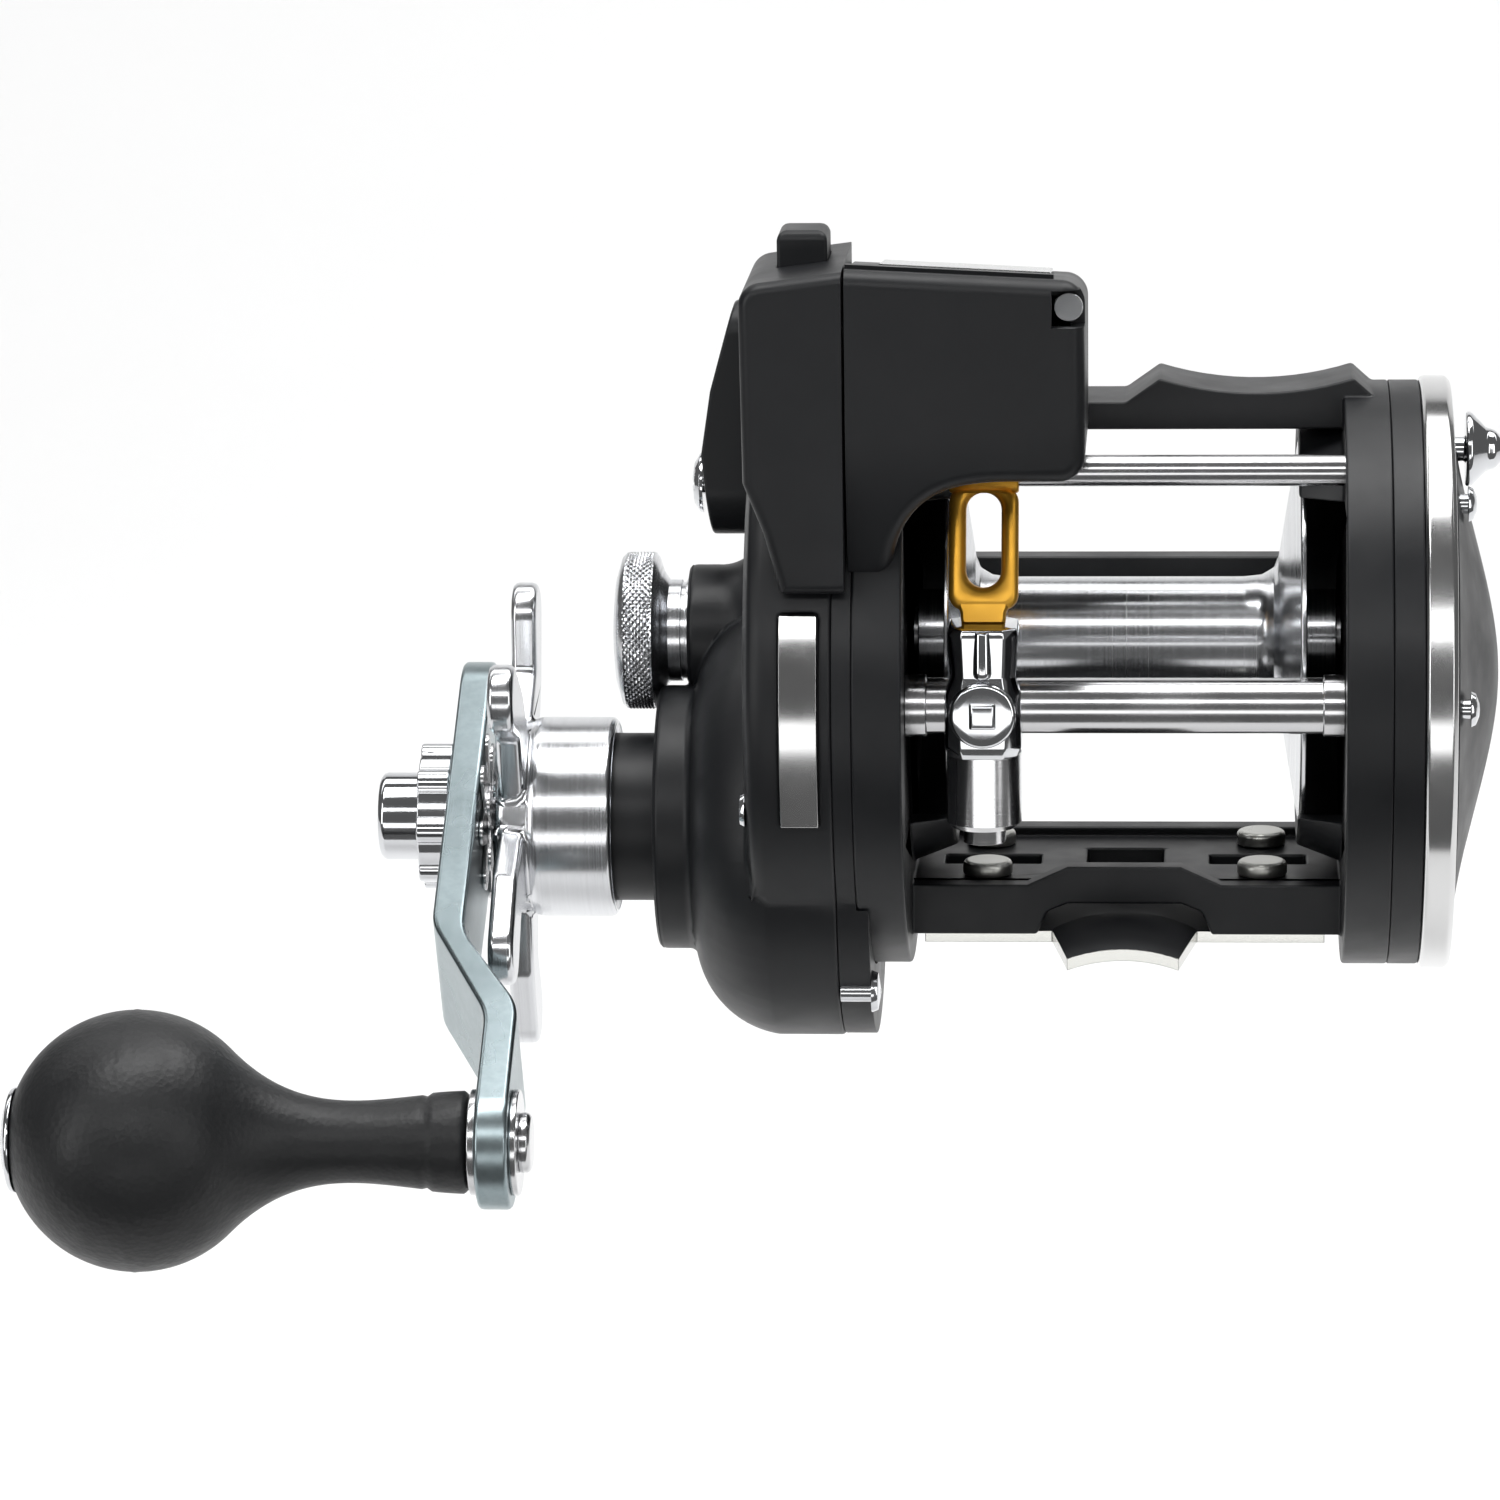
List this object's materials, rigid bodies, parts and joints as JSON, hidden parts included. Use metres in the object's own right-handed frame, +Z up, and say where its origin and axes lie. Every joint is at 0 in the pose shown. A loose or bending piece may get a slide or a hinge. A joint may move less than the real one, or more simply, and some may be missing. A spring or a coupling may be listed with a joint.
{
  "type": "trolling reel",
  "caption": "Conventional fishing reel with a star drag, crank handle with a ball knob, level-wind line guide and a built-in line counter.",
  "frame": {"origin": "middle of the reel foot's flat underside, where it rests on the rod's reel seat", "axes": "+X from the handle side to the palm side along every shaft, +Z up off the rod, -Y towards the rod tip where the line leaves"},
  "size_m": [0.1801, 0.1031, 0.1212],
  "materials": {
    "graphite": "satin black filled nylon with a fine texture",
    "foot_metal": "steel, black coated on top with bare edges",
    "rivet_metal": "dull nickel",
    "chrome": "polished",
    "polished_trim": "polished with a fine brush",
    "stainless": "satin",
    "machined_aluminium": "machined and clear anodised, with turning lines",
    "anodised": "teal grey anodised aluminium, satin",
    "gold_coat": "gold nitride coat, satin",
    "grip": "soft grained black",
    "window": "clear, smoked",
    "steel": "ground",
    "brass": "machined",
    "acetal": "natural moulded acetal",
    "fibre": "woven carbon fibre drag material",
    "number_wheel": "white moulded"
  },
  "bodies": {
    "frame": {"frame": "graphite", "reel_foot": "foot_metal", "foot_rivets": "rivet_metal", "palm_side_plate": "graphite", "palm_trim_ring": "polished_trim", "palm_cover": "graphite", "case_screws": "chrome", "shaft_bearings": "steel", "gear_case_pins": "steel", "worm_guard_tube": "stainless", "worm_bushings": "acetal", "upper_guide_bar": "stainless", "gear_side_plate": "graphite", "gear_side_trim": "polished_trim", "gear_backing_plate": "graphite", "counter_housing": "graphite", "counter_window": "window", "counter_gear_cover": "graphite"},
    "clicker": {"clicker_button": "chrome", "clicker_tongue": "steel"},
    "spool": {"spool": "machined_aluminium", "spool_shaft": "steel", "click_gear": "steel", "spool_gear": "acetal"},
    "wind_idler": {"wind_idler_gear": "acetal"},
    "worm": {"worm_shaft": "steel", "worm_gear": "acetal"},
    "lower_idler": {"lower_counter_idler": "acetal"},
    "upper_idler": {"upper_counter_idler": "acetal"},
    "counter": {"counter_shaft": "acetal", "counter_gear": "acetal", "units_wheel": "number_wheel"},
    "tens": {"tens_wheel": "number_wheel"},
    "hundreds": {"hundreds_wheel": "number_wheel"},
    "line_guide": {"line_guide_carriage": "chrome", "line_guide": "gold_coat", "pawl_cap": "stainless"},
    "pawl": {"pawl": "steel"},
    "yoke": {"yoke": "steel"},
    "pinion": {"pinion": "brass"},
    "drive": {"drive_shaft": "steel", "main_gear": "brass", "drag_fibre_washers": "fibre", "drag_steel_washers": "steel", "ratchet": "steel", "drag_spring_washers": "stainless", "handle_arm": "anodised", "handle_nut": "chrome", "nut_cap": "chrome", "knob_pin": "stainless", "knob_washers": "stainless"},
    "star": {"star_drag_wheel": "machined_aluminium"},
    "dog": {"anti_reverse_dog": "steel"},
    "lever": {"freespool_lever": "graphite", "lever_screw": "chrome", "lever_cam": "steel"},
    "brake": {"brake_knob": "machined_aluminium"},
    "knob": {"knob_grip": "grip", "knob_end_cap": "chrome"},
    "reset": {"reset_button": "graphite"}
  },
  "joints": [
    {"name": "drive_spin", "type": "hinge", "parent": "frame", "child": "drive", "pos_m": [0, -0.007, 0.0146], "axis": [1, 0, 0], "continuous": true},
    {"name": "knob_spin", "type": "hinge", "parent": "drive", "child": "knob", "pos_m": [0, -0.05636, -0.0139], "axis": [1, 0, 0], "continuous": true},
    {"name": "star_turn", "type": "hinge", "parent": "drive", "child": "star", "pos_m": [0, -0.007, 0.0146], "axis": [1, 0, 0], "range_deg": [-180, 180]},
    {"name": "spool_spin", "type": "hinge", "parent": "frame", "child": "spool", "pos_m": [0, 0, 0.037], "axis": [1, 0, 0], "continuous": true},
    {"name": "yoke_slide", "type": "slide", "parent": "frame", "child": "yoke", "axis": [1, 0, 0], "range_m": [-0.002, 0]},
    {"name": "pinion_spin", "type": "hinge", "parent": "yoke", "child": "pinion", "pos_m": [0, 0, 0.037], "axis": [1, 0, 0], "continuous": true},
    {"name": "wind_idler_spin", "type": "hinge", "parent": "frame", "child": "wind_idler", "pos_m": [0, -0.0135, 0.03556], "axis": [1, 0, 0], "continuous": true},
    {"name": "worm_spin", "type": "hinge", "parent": "frame", "child": "worm", "pos_m": [0, -0.03, 0.0338], "axis": [1, 0, 0], "continuous": true},
    {"name": "lower_idler_spin", "type": "hinge", "parent": "frame", "child": "lower_idler", "pos_m": [0, -0.02819, 0.04878], "axis": [1, 0, 0], "continuous": true},
    {"name": "upper_idler_spin", "type": "hinge", "parent": "frame", "child": "upper_idler", "pos_m": [0, -0.02665, 0.06151], "axis": [1, 0, 0], "continuous": true},
    {"name": "counter_spin", "type": "hinge", "parent": "frame", "child": "counter", "pos_m": [0, -0.02502, 0.07498], "axis": [1, 0, 0], "continuous": true},
    {"name": "tens_spin", "type": "hinge", "parent": "frame", "child": "tens", "pos_m": [0, -0.02502, 0.07498], "axis": [1, 0, 0], "continuous": true},
    {"name": "hundreds_spin", "type": "hinge", "parent": "frame", "child": "hundreds", "pos_m": [0, -0.02502, 0.07498], "axis": [1, 0, 0], "continuous": true},
    {"name": "line_guide_slide", "type": "slide", "parent": "frame", "child": "line_guide", "axis": [1, 0, 0], "range_m": [0, 0.0336]},
    {"name": "pawl_swivel", "type": "hinge", "parent": "line_guide", "child": "pawl", "pos_m": [-0.01678, -0.03, 0.027], "axis": [0, 0, 1], "range_deg": [-25, 25]},
    {"name": "lever_turn", "type": "hinge", "parent": "frame", "child": "lever", "pos_m": [0, 0.0015, 0.0556], "axis": [1, 0, 0], "range_deg": [0, 45]},
    {"name": "brake_turn", "type": "hinge", "parent": "frame", "child": "brake", "pos_m": [0, 0, 0.037], "axis": [1, 0, 0], "range_deg": [-180, 360]},
    {"name": "clicker_slide", "type": "slide", "parent": "frame", "child": "clicker", "axis": [0.2599, 0, -0.9656], "range_m": [0, 0.004]},
    {"name": "reset_press", "type": "slide", "parent": "frame", "child": "reset", "axis": [0, 0, -1], "range_m": [0, 0.002], "stiffness_N_per_m": 120},
    {"name": "dog_swing", "type": "hinge", "parent": "frame", "child": "dog", "pos_m": [0, 0.008, 0.013], "axis": [1, 0, 0], "range_deg": [0, 8], "stiffness_Nm_per_rad": 0.01}
  ],
  "couplings": [
    {"joint": "spool_spin", "follows": "drive_spin", "ratio": -5.1},
    {"joint": "pinion_spin", "follows": "drive_spin", "ratio": -5.1},
    {"joint": "wind_idler_spin", "follows": "drive_spin", "ratio": 3.2455},
    {"joint": "worm_spin", "follows": "drive_spin", "ratio": -3.2455},
    {"joint": "lower_idler_spin", "follows": "drive_spin", "ratio": 3.9667},
    {"joint": "upper_idler_spin", "follows": "drive_spin", "ratio": -4.4625},
    {"joint": "counter_spin", "follows": "drive_spin", "ratio": 3.57},
    {"joint": "tens_spin", "follows": "drive_spin", "ratio": 0.357},
    {"joint": "hundreds_spin", "follows": "drive_spin", "ratio": 0.0357},
    {"joint": "lever_turn", "follows": "yoke_slide", "rad_per_m": -392.7}
  ]
}
